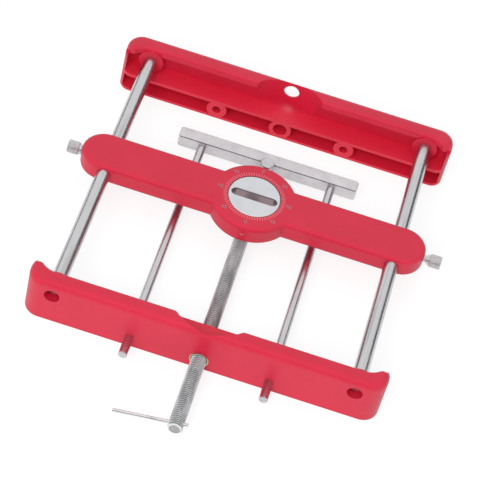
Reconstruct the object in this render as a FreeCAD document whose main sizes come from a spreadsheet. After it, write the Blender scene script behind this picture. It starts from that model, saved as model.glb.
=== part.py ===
import FreeCAD, Part
import math
import os
import Sketcher
from FreeCAD import Placement, Rotation, Vector

# Dowelling jig: two moulded end bars joined by two guide rods. A carrier with a
# turning slotted dial slides on the rods, and a screw-driven clamp bar with two
# guide pins holds the work against the rear bar, one level lower.
# Frame: +X along the bars, +Y from the clamp screw towards the rear bar, +Z up.
# The origin is the centre of the front bar's underside.

doc = FreeCAD.newDocument("dowelling_jig")
sheet = doc.addObject("Spreadsheet::Sheet", "dims")

sizes = {
    # end bars
    "bar_end": 18.3,          # guide rod axis to the bar's end
    "bar_depth": 22.8,
    "bar_span": 238.6,        # outer face to outer face
    "bar_height": 36.0,
    "wall": 2.6,
    "top_wall": 5.6,
    "back_wall": 8.0,         # outer wall of the upper compartment
    "web_wall": 2.6,
    "lower_room": 11.4,       # height of the lower compartment
    "arm_gap_low": 0.4,       # carrier above the web
    "corner_outer": 11.0,
    "corner_inner": 8.0,
    "top_round": 5.0,
    "foot_round": 0.8,
    "lip_depth": 12.0,        # outer face to the top wall's inner edge
    "lip_round": 3.0,
    "ear_length": 16.6,       # from the bar's end
    "ear_sweep": 14.0,
    "ear_tip": 4.4,
    "ear_slope": 17.8,
    "slope_foot": 3.2,        # end wall's height above the web
    "notch_room": 2.2,        # round the carrier's hub
    "notch_skin": 1.2,        # outer wall left at the notch's deepest point
    "notch_corner": 3.0,
    # guide rods and their screws
    "rod_spacing": 200.0,
    "rod_radius": 5.0,
    "rod_boss_wall": 4.0,
    "boss_reach": 13.2,
    "rod_seat": 9.5,
    "recess_depth": 7.5,
    "rod_screw_shank": 2.5,
    "rod_screw_head": 4.2,
    "rod_screw_rise": 2.6,
    "rod_screw_reach": 13.0,
    "rod_screw_drive": 3.0,
    "head_chamfer": 0.8,
    "head_room": 1.0,         # recess round the screw head
    "tap_spare": 3.0,         # tapped hole beyond the screw
    # clamp: screw, pins and bar
    "clamp_lift": 0.2,        # clamp shafts above the middle of the lower compartment
    "screw_radius": 5.0,
    "insert_wall": 1.4,
    "insert_boss_wall": 1.6,
    "screw_front": 57.2,      # ahead of the front bar's outer face
    "screw_chamfer": 1.0,
    "screw_neck": 3.1,
    "screw_head": 3.9,        # swaged rear end
    "head_rise": 2.4,
    "head_recess": 3.0,
    "head_gap": 0.3,
    "shoulder_gap": 0.4,
    "pin_spacing": 93.0,
    "pin_radius": 3.0,
    "pin_boss_wall": 4.2,
    "pin_front": 15.0,
    "pin_seat": 6.0,
    "clamp_face": 176.8,      # clamp bar's front face behind the front bar's outer face
    "clamp_length": 128.0,
    "clamp_depth": 9.6,
    "clamp_height": 9.6,
    "clamp_corner": 2.0,
    "swivel_boss": 4.5,       # round boss that takes the screw's neck
    "swivel_rise": 0.5,
    "socket_radius": 5.0,
    "sight_radius": 5.5,      # round hole in the rear bar's outer wall
    "sight_lift": 1.5,        # above the guide rods
    # tommy bar
    "tommy_radius": 1.2,
    "tommy_length": 49.0,
    "tommy_left": 41.4,
    "tommy_inset": 4.9,
    "tommy_tilt": 10.0,
    # carrier and dial
    "carrier_at": 126.8,      # dial centre behind the front bar's outer face
    "arm_end": 19.5,          # guide rod axis to the carrier's end
    "carrier_width": 31.5,
    "carrier_height": 15.0,
    "carrier_edge": 3.2,
    "hub_radius": 29.3,
    "hub_blend": 1.2,
    "dial_radius": 17.75,
    "dial_ledge": 2.5,
    "dial_seat": 1.15,        # width of the ledge under the dial's rim
    "slot_margin": 1.95,
    "slot_width": 6.6,
    "slot_chamfer": 0.3,
    "dial_groove": 0.9,
    "groove_width": 2.2,
    "lock_break": 0.3,
    "lock_radius": 1.5,
    "lock_tip": 0.8,
    "lock_nose": 0.9,
    "lock_taper": 0.7,
    "lock_gap": 0.3,
    "lock_sink": 0.5,
    "lock_drive": 1.5,
    # thumb screws
    "thumb_radius": 2.5,
    "knob_radius": 4.5,
    "knob_length": 8.2,
    "collar_radius": 3.4,
    "collar_length": 1.5,
    "knob_groove": 0.4,
    "knob_nicks": 24,
    "thumb_left_gap": 0.3,    # tip to guide rod
    "thumb_right_gap": 2.3,
    # fits
    "running_gap": 0.05,
    "edge_break": 0.5,
    "cut_margin": 4.0,        # how far a cutting profile runs past the solid
}

# Lengths and places that follow from the sizes.
derived = {
    "bar_length": "rod_spacing + 2 * bar_end",
    "front_y": "-bar_depth / 2",
    "web_top": "wall + lower_room + web_wall",
    "rod_level": "web_top + arm_gap_low + carrier_height / 2",
    "room_top": "bar_height - top_wall",
    "notch_radius": "hub_radius + notch_room",
    "clamp_level": "wall + lower_room / 2 + clamp_lift",
    "rod_boss": "rod_radius + rod_boss_wall",
    "rod_length": "bar_span - 2 * rod_seat",
    "rod_tap": "rod_screw_reach - rod_seat + recess_depth + tap_spare",
    "recess_radius": "rod_screw_head + head_room",
    "insert_radius": "screw_radius + insert_wall",
    "screw_boss": "insert_radius + insert_boss_wall",
    "pin_boss": "pin_radius + pin_boss_wall",
    "pin_length": "pin_front + clamp_face + pin_seat",
    "shoulder": "screw_front + clamp_face - swivel_boss - shoulder_gap",
    "head_start": "screw_front + clamp_face + clamp_depth - head_recess + running_gap",
    "head_end": "head_start + head_rise",
    "carrier_length": "rod_spacing + 2 * arm_end",
    "carrier_y": "carrier_at + front_y",
    "carrier_low": "rod_level - carrier_height / 2",
    "dial_rise": "carrier_height - dial_ledge",
    "ledge_radius": "dial_radius - dial_seat",
    "dial_slot": "2 * (dial_radius - slot_margin)",
    "groove_level": "carrier_height / 2 - dial_ledge",
    "groove_floor": "dial_radius - dial_groove",
    "lock_length": "hub_radius - lock_sink - groove_floor - lock_gap",
    "thumb_neck": "arm_end - rod_radius",
    "knob_start": "thumb_neck + collar_length",
    "thumb_end": "knob_start + knob_length",
}

for row, (alias, amount) in enumerate(sizes.items(), start=1):
    sheet.set("A%d" % row, alias)
    sheet.set("B%d" % row, "%g" % amount)
    sheet.setAlias("B%d" % row, alias)
doc.recompute()


def full(text):
    """The expression with "dims." before each alias and each derived name written out."""
    words, word = [], ""
    for mark in text + " ":
        if mark.isalnum() or mark in "_.":
            word += mark
            continue
        if word in derived:
            word = "(%s)" % full(derived[word])
        words.append("dims." + word if word in sizes else word)
        words.append(mark)
        word = ""
    return "".join(words).strip()


def value(text):
    found = sheet.evalExpression(full(text).replace("dims.", ""))
    return float(getattr(found, "Value", found))


def bind(thing, prop, text):
    thing.setExpression(prop, full(text))


class Piece:
    """A PartDesign body with short calls for its sketches and features."""

    def __init__(self, label):
        self.body = doc.addObject("PartDesign::Body", label)
        self.body.Label = label
        self.count = 0
        self.volume = 0.0

    def name(self, kind):
        self.count += 1
        return "%s_%s_%d" % (self.body.Label, kind, self.count)

    def sketch(self, plane, offset="0"):
        made = self.body.newObject("Sketcher::SketchObject", self.name("sketch"))
        origin = [f for f in self.body.Origin.OriginFeatures if f.Role == plane + "_Plane"][0]
        made.AttachmentSupport = (origin, [""])
        made.MapMode = "FlatFace"
        if offset != "0":
            bind(made, "AttachmentOffset.Base.z", offset)
        return made

    def feature(self, kind, sketch, length=None, grows=True, **options):
        made = self.body.newObject("PartDesign::" + kind, self.name(kind.lower()))
        made.Profile = sketch
        for prop, setting in options.items():
            setattr(made, prop, setting)
        if length is not None:
            bind(made, "Length", length)
        self.settle(made, grows)
        return made

    def settle(self, made, grows):
        self.body.Tip = made
        doc.recompute()
        volume = made.Shape.Volume
        if (volume - self.volume) * (1 if grows else -1) <= 1e-6:
            raise RuntimeError("%s does not change the solid as meant" % made.Name)
        self.volume = volume

    def revolve(self, profile):
        made = self.sketch("XZ")
        polygon(made, profile)
        return self.feature("Revolution", made, ReferenceAxis=(made, ["V_Axis"]), Angle=360.0)

    def pad(self, sketch, length, **options):
        return self.feature("Pad", sketch, length, **options)

    def pocket(self, sketch, length, **options):
        return self.feature("Pocket", sketch, length, grows=False, **options)

    def dress(self, kind, size, test, prop=None):
        base = self.body.Tip
        picked = ["Edge%d" % i for i, edge in enumerate(base.Shape.Edges, start=1) if test(edge)]
        made = self.body.newObject("PartDesign::" + kind, self.name(kind.lower()))
        made.Base = (base, picked)
        bind(made, prop or ("Radius" if kind == "Fillet" else "Size"), size)
        self.body.Tip = made
        doc.recompute()
        self.volume = made.Shape.Volume
        return made

    def put(self, x="0", y="0", z="0", turn=None):
        if turn is not None:
            self.body.Placement = Placement(Vector(0, 0, 0), turn)
        for axis, text in (("x", x), ("y", y), ("z", z)):
            if text != "0":
                bind(self.body, "Placement.Base." + axis, text)


def datum(sketch, kind, places, text):
    index = sketch.addConstraint(Sketcher.Constraint(kind, *places, value(text)))
    label = "d%d" % index
    sketch.renameConstraint(index, label)
    sketch.setExpression("Constraints." + label, full(text))


def pin_point(sketch, geo, pos, x, y):
    datum(sketch, "DistanceX", (-1, 1, geo, pos), x)
    datum(sketch, "DistanceY", (-1, 1, geo, pos), y)


def polygon(sketch, points):
    spots = [Vector(value(x), value(y), 0) for x, y in points]
    lines = []
    for start, end in zip(spots, spots[1:] + spots[:1]):
        lines.append(sketch.addGeometry(Part.LineSegment(start, end), False))
    for line, following in zip(lines, lines[1:] + lines[:1]):
        sketch.addConstraint(Sketcher.Constraint("Coincident", line, 2, following, 1))
    for line, (x, y) in zip(lines, points):
        pin_point(sketch, line, 1, x, y)


def circle(sketch, x, y, radius):
    spot = Vector(value(x), value(y), 0)
    geo = sketch.addGeometry(Part.Circle(spot, Vector(0, 0, 1), value(radius)), False)
    pin_point(sketch, geo, 3, x, y)
    datum(sketch, "Radius", (geo,), radius)


def arc(sketch, x, y, radius, start, end):
    spot = Part.Circle(Vector(x, y, 0), Vector(0, 0, 1), radius)
    return sketch.addGeometry(Part.ArcOfCircle(spot, start, end), False)


def rounded(sketch, left, right, low, high, low_radius=None, high_radius=None):
    """Rectangle on the axes' directions, with its lower or upper corners rounded."""
    corners = [(left, low, low_radius, -1, -1), (right, low, low_radius, 1, -1),
               (right, high, high_radius, 1, 1), (left, high, high_radius, -1, 1)]
    spots = []
    for x, y, radius, side, rise in corners:
        size = value(radius) if radius else 0.0
        spots.append((value(x), value(y), size, side, rise))
    lines = []
    for index, (x, y, size, side, rise) in enumerate(spots):
        end_x, end_y, end_size = spots[(index + 1) % 4][:3]
        step = Vector(end_x - x, end_y - y, 0).normalize()
        start = Vector(x, y, 0) + step * size
        end = Vector(end_x, end_y, 0) - step * end_size
        lines.append(sketch.addGeometry(Part.LineSegment(start, end), False))
    for index, line in enumerate(lines):
        level = index % 2 == 0
        sketch.addConstraint(Sketcher.Constraint("Horizontal" if level else "Vertical", line))
        place = corners[index][1] if level else corners[index][0]
        datum(sketch, "DistanceY" if level else "DistanceX", (-1, 1, line, 1), place)
        x, y, size, side, rise = spots[index]
        before = lines[index - 1]
        if not size:
            sketch.addConstraint(Sketcher.Constraint("Coincident", before, 2, line, 1))
            continue
        begin = math.pi + index * math.pi / 2
        bend = arc(sketch, x - side * size, y - rise * size, size, begin, begin + math.pi / 2)
        sketch.addConstraint(Sketcher.Constraint("Tangent", before, 2, bend, 1))
        sketch.addConstraint(Sketcher.Constraint("Tangent", bend, 2, line, 1))
        datum(sketch, "Radius", (bend,), corners[index][2])


def racetrack(sketch, length, width):
    """Slot with full-radius ends, along the sketch's x axis and centred on its origin."""
    half, radius = value(length) / 2, value(width) / 2
    lower = sketch.addGeometry(Part.LineSegment(Vector(radius - half, -radius, 0),
                                                Vector(half - radius, -radius, 0)), False)
    right = arc(sketch, half - radius, 0, radius, -math.pi / 2, math.pi / 2)
    upper = sketch.addGeometry(Part.LineSegment(Vector(half - radius, radius, 0),
                                                Vector(radius - half, radius, 0)), False)
    left = arc(sketch, radius - half, 0, radius, math.pi / 2, 3 * math.pi / 2)
    ring = [lower, right, upper, left]
    for geo, following in zip(ring, ring[1:] + ring[:1]):
        sketch.addConstraint(Sketcher.Constraint("Tangent", geo, 2, following, 1))
    sketch.addConstraint(Sketcher.Constraint("Horizontal", lower))
    pin_point(sketch, right, 3, "(%s - %s) / 2" % (length, width), "0")
    datum(sketch, "DistanceX", (-1, 1, left, 3), "(%s - %s) / 2" % (width, length))
    datum(sketch, "Radius", (right,), width + " / 2")


def ear_cut(sketch):
    """Outline of what is cut off the top wall: a straight lip that sweeps into both ears."""
    half, sweep, tip = value("bar_length / 2"), value("ear_sweep"), value("ear_tip")
    edge, start = value("lip_depth"), half - value("ear_length")
    run = half - tip - start
    drop = math.sqrt((sweep + tip) ** 2 - run ** 2)
    level = edge + sweep - drop
    lean = math.atan2(drop, run)
    beyond, far = value("bar_length / 2 + cut_margin"), value("bar_depth + cut_margin")
    lip_line = sketch.addGeometry(Part.LineSegment(Vector(-start, edge, 0), Vector(start, edge, 0)), False)
    sketch.addConstraint(Sketcher.Constraint("Horizontal", lip_line))
    datum(sketch, "DistanceY", (-1, 1, lip_line, 1), "lip_depth")
    tops = []
    for side, sign in ((-1, "-"), (1, "")):
        if side < 0:
            bend = arc(sketch, -start, edge + sweep, sweep, math.pi + lean, 1.5 * math.pi)
            nose = arc(sketch, tip - half, level, tip, lean, math.pi)
        else:
            bend = arc(sketch, start, edge + sweep, sweep, 1.5 * math.pi, 2 * math.pi - lean)
            nose = arc(sketch, half - tip, level, tip, 0, math.pi - lean)
        # an arc runs anticlockwise, so the left side meets its neighbours end for end
        first, last = (2, 1) if side < 0 else (1, 2)
        sketch.addConstraint(Sketcher.Constraint("Tangent", lip_line, last, bend, first))
        sketch.addConstraint(Sketcher.Constraint("Tangent", bend, last, nose, last))
        datum(sketch, "DistanceX", (-1, 1, bend, 3), "%s(bar_length / 2 - ear_length)" % sign)
        datum(sketch, "Radius", (bend,), "ear_sweep")
        datum(sketch, "Radius", (nose,), "ear_tip")
        datum(sketch, "DistanceX", (-1, 1, nose, 3), "%s(bar_length / 2 - ear_tip)" % sign)
        sketch.addConstraint(Sketcher.Constraint("Horizontal", nose, 3, nose, first))
        out = sketch.addGeometry(Part.LineSegment(Vector(side * half, level, 0),
                                                  Vector(side * beyond, level, 0)), False)
        up = sketch.addGeometry(Part.LineSegment(Vector(side * beyond, level, 0),
                                                 Vector(side * beyond, far, 0)), False)
        sketch.addConstraint(Sketcher.Constraint("Coincident", nose, first, out, 1))
        sketch.addConstraint(Sketcher.Constraint("Horizontal", out))
        sketch.addConstraint(Sketcher.Constraint("Coincident", out, 2, up, 1))
        sketch.addConstraint(Sketcher.Constraint("Vertical", up))
        pin_point(sketch, up, 2, "%s(bar_length / 2 + cut_margin)" % sign, "bar_depth + cut_margin")
        tops.append(up)
    back = sketch.addGeometry(Part.LineSegment(Vector(-beyond, far, 0), Vector(beyond, far, 0)), False)
    sketch.addConstraint(Sketcher.Constraint("Coincident", tops[0], 2, back, 1))
    sketch.addConstraint(Sketcher.Constraint("Coincident", tops[1], 2, back, 2))


def round_notch(sketch, radius, middle, mouth, corner):
    """Round notch open towards +y, its corners rounded into the straight edge at mouth."""
    reach, spot, edge, bend = value(radius), value(middle), value(mouth), value(corner)
    drop = spot - edge + bend
    wide = math.sqrt((reach + bend) ** 2 - drop ** 2)
    lean, far = math.atan2(drop, wide), value("bar_depth + cut_margin")
    bow = arc(sketch, 0, spot, reach, math.pi + lean, 2 * math.pi - lean)
    left = arc(sketch, -wide, edge - bend, bend, lean, math.pi / 2)
    right = arc(sketch, wide, edge - bend, bend, math.pi / 2, math.pi - lean)
    tops = []
    for geo, meets, ends, side in ((left, 1, 2, -1), (right, 2, 1, 1)):
        sketch.addConstraint(Sketcher.Constraint("Tangent", bow, meets, geo, meets))
        sketch.addConstraint(Sketcher.Constraint("Vertical", geo, 3, geo, ends))
        datum(sketch, "Radius", (geo,), corner)
        datum(sketch, "DistanceY", (-1, 1, geo, ends), mouth)
        up = sketch.addGeometry(Part.LineSegment(Vector(side * wide, edge, 0),
                                                 Vector(side * wide, far, 0)), False)
        sketch.addConstraint(Sketcher.Constraint("Coincident", geo, ends, up, 1))
        sketch.addConstraint(Sketcher.Constraint("Vertical", up))
        tops.append(up)
    back = sketch.addGeometry(Part.LineSegment(Vector(-wide, far, 0), Vector(wide, far, 0)), False)
    sketch.addConstraint(Sketcher.Constraint("Coincident", tops[0], 2, back, 1))
    sketch.addConstraint(Sketcher.Constraint("Coincident", tops[1], 2, back, 2))
    sketch.addConstraint(Sketcher.Constraint("Horizontal", back))
    datum(sketch, "DistanceY", (-1, 1, back, 1), "bar_depth + cut_margin")
    pin_point(sketch, bow, 3, "0", middle)
    datum(sketch, "Radius", (bow,), radius)


def hexagon(sketch, across):
    corner = "%s / 2 / cos(30)" % across
    polygon(sketch, [("%s * cos(%d)" % (corner, a), "%s * sin(%d)" % (corner, a))
                     for a in range(0, 360, 60)])


along_y = Rotation(Vector(1, 0, 0), -90)
sides = (("left", "-"), ("right", ""))
touch, near = 1e-4, 0.01      # how closely an edge lies at a level, and at a place in plan


# End bar, one moulding per end: an E section open to the inside, outer face at local
# y = 0. The upper compartment takes the carrier's arms, the lower one the clamp bosses.
def end_bar(label):
    bar = Piece(label)

    plan = bar.sketch("XY")
    rounded(plan, "-bar_length / 2", "bar_length / 2", "0", "bar_depth", "corner_outer", "corner_inner")
    bar.pad(plan, "bar_height")
    height = value("bar_height")
    bar.dress("Fillet", "top_round", lambda e: abs(e.BoundBox.ZMin - height) < touch)
    bar.dress("Fillet", "foot_round", lambda e: abs(e.BoundBox.ZMax) < touch)

    for roof, room, back in (("room_top", "room_top - web_top", "back_wall"),
                             ("wall + lower_room", "lower_room", "wall")):
        plan = bar.sketch("XY", roof)
        rounded(plan, "wall - bar_length / 2", "bar_length / 2 - wall", back, "bar_depth + cut_margin",
                "corner_outer - wall")
        bar.pocket(plan, room)

    # the end walls lean back from the ears to the web
    side = bar.sketch("YZ", "-bar_length / 2 - cut_margin")
    polygon(side, [("ear_slope", "bar_height + cut_margin"), ("ear_slope", "bar_height"),
                   ("bar_depth", "web_top + slope_foot"),
                   ("bar_depth + cut_margin", "web_top + slope_foot"),
                   ("bar_depth + cut_margin", "bar_height + cut_margin")])
    bar.pocket(side, "bar_length + 2 * cut_margin", Reversed=True)

    plan = bar.sketch("XY", "bar_height")
    ear_cut(plan)
    bar.pocket(plan, "top_wall")
    edge = value("lip_depth")
    bar.dress("Fillet", "lip_round", lambda e: abs(e.BoundBox.ZMin - height) < touch
              and e.BoundBox.Center.y > edge - near and e.BoundBox.XLength > near)

    # round notch for the hub, down to the web
    plan = bar.sketch("XY", "bar_height")
    round_notch(plan, "notch_radius", "notch_skin + notch_radius", "lip_depth", "notch_corner")
    bar.pocket(plan, "bar_height - web_top")

    # bosses, from their faces back into the outer wall
    face = bar.sketch("XZ", "-boss_reach")
    for _, sign in sides:
        circle(face, sign + "rod_spacing / 2", "rod_level", "rod_boss")
    bar.pad(face, "boss_reach - wall / 2")
    face = bar.sketch("XZ", "-bar_depth")
    circle(face, "0", "clamp_level", "screw_boss")
    for _, sign in sides:
        circle(face, sign + "pin_spacing / 2", "clamp_level", "pin_boss")
    bar.pad(face, "bar_depth - wall / 2")

    # seats for the guide rods, and the recessed screw holes that hold them
    face = bar.sketch("XZ", "-boss_reach")
    for _, sign in sides:
        circle(face, sign + "rod_spacing / 2", "rod_level", "rod_radius")
    bar.pocket(face, "boss_reach - rod_seat", Reversed=True)
    for radius, depth in (("rod_screw_shank", "rod_seat"), ("recess_radius", "recess_depth")):
        face = bar.sketch("XZ")
        for _, sign in sides:
            circle(face, sign + "rod_spacing / 2", "rod_level", radius)
        bar.pocket(face, depth)
    return bar


front = end_bar("front_bar")
face = front.sketch("XZ")
circle(face, "0", "clamp_level", "insert_radius")
for _, sign in sides:
    circle(face, sign + "pin_spacing / 2", "clamp_level", "pin_radius + running_gap")
front.pocket(face, "bar_depth")
front.put(y="front_y")

# The rear bar faces the other way. Its three lower sockets are blind, and a round
# hole above the web goes through its outer wall.
rear = end_bar("rear_bar")
face = rear.sketch("XZ", "-wall")
circle(face, "0", "clamp_level", "socket_radius")
for _, sign in sides:
    circle(face, sign + "pin_spacing / 2", "clamp_level", "pin_radius + running_gap")
rear.pocket(face, "bar_depth - wall")
face = rear.sketch("XZ")
circle(face, "0", "rod_level + sight_lift", "sight_radius")
rear.pocket(face, "wall + cut_margin")
rear.put(y="bar_span + front_y", turn=Rotation(Vector(0, 0, 1), 180))

# Guide rods, seated in the bars' bosses and tapped at both ends.
for side, sign in sides:
    rod = Piece("guide_rod_" + side)
    rod.revolve([("0", "rod_tap"), ("rod_screw_shank", "rod_tap"), ("rod_screw_shank", "0"),
                 ("rod_radius - edge_break", "0"), ("rod_radius", "edge_break"),
                 ("rod_radius", "rod_length - edge_break"), ("rod_radius - edge_break", "rod_length"),
                 ("rod_screw_shank", "rod_length"), ("rod_screw_shank", "rod_length - rod_tap"),
                 ("0", "rod_length - rod_tap")])
    rod.put(sign + "rod_spacing / 2", "rod_seat + front_y", "rod_level", along_y)

# Low-head screws in the recesses of both bars hold the rods. Local z = 0 is the
# underside of the head, and the shank points along +Z.
for end, seat, turn in (("front", "recess_depth + front_y", along_y),
                        ("rear", "bar_span - recess_depth + front_y", Rotation(Vector(1, 0, 0), 90))):
    for side, sign in sides:
        bolt = Piece("rod_screw_%s_%s" % (end, side))
        bolt.revolve([("0", "-rod_screw_rise"), ("rod_screw_head - head_chamfer", "-rod_screw_rise"),
                      ("rod_screw_head", "head_chamfer - rod_screw_rise"), ("rod_screw_head", "0"),
                      ("rod_screw_shank", "0"), ("rod_screw_shank", "rod_screw_reach - edge_break"),
                      ("rod_screw_shank - edge_break", "rod_screw_reach"), ("0", "rod_screw_reach")])
        drive = bolt.sketch("XY", "-rod_screw_rise")
        hexagon(drive, "rod_screw_drive")
        bolt.pocket(drive, "rod_screw_rise * 0.7", Reversed=True)
        bolt.put(sign + "rod_spacing / 2", seat, "rod_level", turn)

# Threaded insert of the clamp screw, moulded into the front bar's middle boss.
insert = Piece("screw_insert")
bore = "screw_radius + running_gap"
insert.revolve([(bore, "edge_break"), (bore + " + edge_break", "0"), ("insert_radius", "0"),
                ("insert_radius", "bar_depth"), (bore + " + edge_break", "bar_depth"),
                (bore, "bar_depth - edge_break")])
insert.put(y="front_y", z="clamp_level", turn=along_y)

# Carrier: two arms with full-radius ends and a round hub. Its underside is local z = 0.
carrier = Piece("carrier")
plan = carrier.sketch("XY")
racetrack(plan, "carrier_length", "carrier_width")
carrier.pad(plan, "carrier_height")
plan = carrier.sketch("XY")
circle(plan, "0", "0", "hub_radius")
carrier.pad(plan, "carrier_height")
top, arm, hub = value("carrier_height"), value("carrier_width") / 2, value("hub_radius")
junction = math.sqrt(hub ** 2 - arm ** 2)


def at_junction(edge):
    box = edge.BoundBox
    return (box.ZLength > top - touch and box.XLength + box.YLength < touch
            and abs(abs(box.Center.x) - junction) < near and abs(abs(box.Center.y) - arm) < near)


def on_flat_side(edge):
    box = edge.BoundBox
    return box.ZLength < touch and min(abs(box.ZMin), abs(box.ZMin - top)) < touch


carrier.dress("Fillet", "hub_blend", at_junction)
carrier.dress("Fillet", "carrier_edge", on_flat_side)
for radius, depth in (("dial_radius + running_gap", "dial_rise"), ("ledge_radius", "carrier_height")):
    plan = carrier.sketch("XY", "carrier_height")
    circle(plan, "0", "0", radius)
    carrier.pocket(plan, depth)
face = carrier.sketch("XZ", "carrier_width")
for _, sign in sides:
    circle(face, sign + "rod_spacing / 2", "carrier_height / 2", "rod_radius + running_gap")
carrier.pocket(face, "carrier_width * 2")
face = carrier.sketch("XZ", "hub_radius + cut_margin")
circle(face, "0", "carrier_height / 2", "lock_radius")
carrier.pocket(face, "hub_radius + cut_margin - ledge_radius")
for (_, sign), back in zip(sides, (True, False)):
    side = carrier.sketch("YZ", "%s(carrier_length / 2 + cut_margin)" % sign)
    circle(side, "0", "carrier_height / 2", "thumb_radius + running_gap")
    carrier.pocket(side, "arm_end + cut_margin", Reversed=back)
carrier.put(y="carrier_y", z="carrier_low")

# Dial: a thick disc that turns on the carrier's ledge, slotted right through. A groove
# round its rim runs past the tip of the locking screw.
dial = Piece("dial_disc")
dial.revolve([("0", "0"), ("dial_radius - edge_break / 2", "0"), ("dial_radius", "edge_break / 2"),
              ("dial_radius", "groove_level - groove_width / 2"),
              ("groove_floor", "groove_level - groove_width / 2"),
              ("groove_floor", "groove_level + groove_width / 2"),
              ("dial_radius", "groove_level + groove_width / 2"),
              ("dial_radius", "dial_rise - edge_break"), ("dial_radius - edge_break", "dial_rise"),
              ("0", "dial_rise")])
plan = dial.sketch("XY", "dial_rise")
racetrack(plan, "dial_slot", "slot_width")
dial.pocket(plan, "dial_rise")
rim, end = value("dial_slot") / 2 + near, value("dial_rise")
dial.dress("Chamfer", "slot_chamfer", lambda e: abs(e.BoundBox.ZMin - end) < touch and e.BoundBox.XMax < rim)
dial.put(y="carrier_y", z="carrier_low + dial_ledge")

# Headless screw in the hub's front side, its tip in the dial's groove. Local z = 0 is
# the driven end.
lock = Piece("dial_lock_screw")
lock.revolve([("0", "0"), ("lock_radius - lock_break", "0"), ("lock_radius", "lock_break"),
              ("lock_radius", "lock_length - lock_nose - lock_taper"),
              ("lock_tip", "lock_length - lock_nose"), ("lock_tip", "lock_length"), ("0", "lock_length")])
drive = lock.sketch("XY")
hexagon(drive, "lock_drive")
lock.pocket(drive, "lock_length / 3", Reversed=True)
lock.put(y="carrier_y - hub_radius + lock_sink", z="rod_level", turn=along_y)

# Thumb screws in the carrier's ends. Local z = 0 is the tip, and the knob with its
# collar is outside.
for (side, sign), angle in zip(sides, (-90, 90)):
    thumb = Piece("thumb_screw_" + side)
    thumb.revolve([("0", "0"), ("thumb_radius - edge_break", "0"), ("thumb_radius", "edge_break"),
                   ("thumb_radius", "thumb_neck"), ("collar_radius", "thumb_neck"),
                   ("collar_radius", "knob_start"), ("knob_radius - edge_break", "knob_start"),
                   ("knob_radius", "knob_start + edge_break"), ("knob_radius", "thumb_end - edge_break"),
                   ("knob_radius - edge_break", "thumb_end"), ("0", "thumb_end")])
    nick = thumb.sketch("XY", "thumb_end")
    polygon(nick, [("knob_radius - knob_groove", "0"), ("knob_radius + 0.1", "-knob_groove - 0.1"),
                   ("knob_radius + 0.1", "knob_groove + 0.1")])
    cut = thumb.pocket(nick, "knob_length")
    ring = thumb.body.newObject("PartDesign::PolarPattern", thumb.name("pattern"))
    ring.Originals = [cut]
    ring.Axis = (nick, ["N_Axis"])
    ring.Angle = 360.0
    bind(ring, "Occurrences", "knob_nicks")
    thumb.settle(ring, False)
    thumb.put("%s(rod_spacing / 2 + rod_radius + thumb_%s_gap)" % (sign, side), "carrier_y",
              "rod_level", Rotation(Vector(0, 1, 0), angle))

# Clamp bar: square, with a round boss in the middle of its front face for the screw's
# neck, whose swaged end turns in a recess in the rear face. Local y = 0 is the front face.
clamp = Piece("clamp_bar")
plan = clamp.sketch("XY")
rounded(plan, "-clamp_length / 2", "clamp_length / 2", "0", "clamp_depth", "clamp_corner", "clamp_corner")
clamp.pad(plan, "clamp_height")
clamp.dress("Fillet", "edge_break", lambda e: e.BoundBox.ZLength < touch)
plan = clamp.sketch("XY")
circle(plan, "0", "0", "swivel_boss")
clamp.pad(plan, "clamp_height + swivel_rise")
peak = value("clamp_height + swivel_rise")
clamp.dress("Fillet", "swivel_rise * 0.6", lambda e: abs(e.BoundBox.ZMin - peak) < touch)
face = clamp.sketch("XZ", "swivel_boss + cut_margin")
circle(face, "0", "clamp_height / 2", "screw_neck + running_gap")
clamp.pocket(face, "swivel_boss + clamp_depth + 2 * cut_margin")
face = clamp.sketch("XZ", "-clamp_depth")
circle(face, "0", "clamp_height / 2", "screw_head + head_gap")
clamp.pocket(face, "head_recess", Reversed=True)
face = clamp.sketch("XZ")
for _, sign in sides:
    circle(face, sign + "pin_spacing / 2", "clamp_height / 2", "pin_radius")
clamp.pocket(face, "pin_seat")
clamp.put(y="clamp_face + front_y", z="clamp_level - clamp_height / 2")

# Guide pins, fixed in the clamp bar and running through the front bar.
for side, sign in sides:
    pin = Piece("guide_pin_" + side)
    pin.revolve([("0", "0"), ("pin_radius - edge_break", "0"), ("pin_radius", "edge_break"),
                 ("pin_radius", "pin_length"), ("0", "pin_length")])
    pin.put(sign + "pin_spacing / 2", "front_y - pin_front", "clamp_level", along_y)

# Clamp screw: plain shaft in place of the thread, cross hole near its front end, and a
# neck through the clamp bar to the swaged end. It is turned so that its cross hole holds
# the tommy bar with the left end low.
screw = Piece("clamp_screw")
screw.revolve([("0", "0"), ("screw_radius - screw_chamfer", "0"), ("screw_radius", "screw_chamfer"),
               ("screw_radius", "shoulder - screw_chamfer"), ("screw_radius - screw_chamfer", "shoulder"),
               ("screw_neck", "shoulder"), ("screw_neck", "head_start"), ("screw_head", "head_start"),
               ("screw_head", "head_end - edge_break"), ("screw_head - edge_break", "head_end"),
               ("0", "head_end")])
side = screw.sketch("YZ", "screw_radius + cut_margin")
circle(side, "0", "tommy_inset", "tommy_radius")
screw.pocket(side, "2 * (screw_radius + cut_margin)")
tilt = value("tommy_tilt")
screw.put(y="front_y - screw_front", z="clamp_level",
          turn=along_y.multiply(Rotation(Vector(0, 0, 1), -tilt)))

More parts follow.
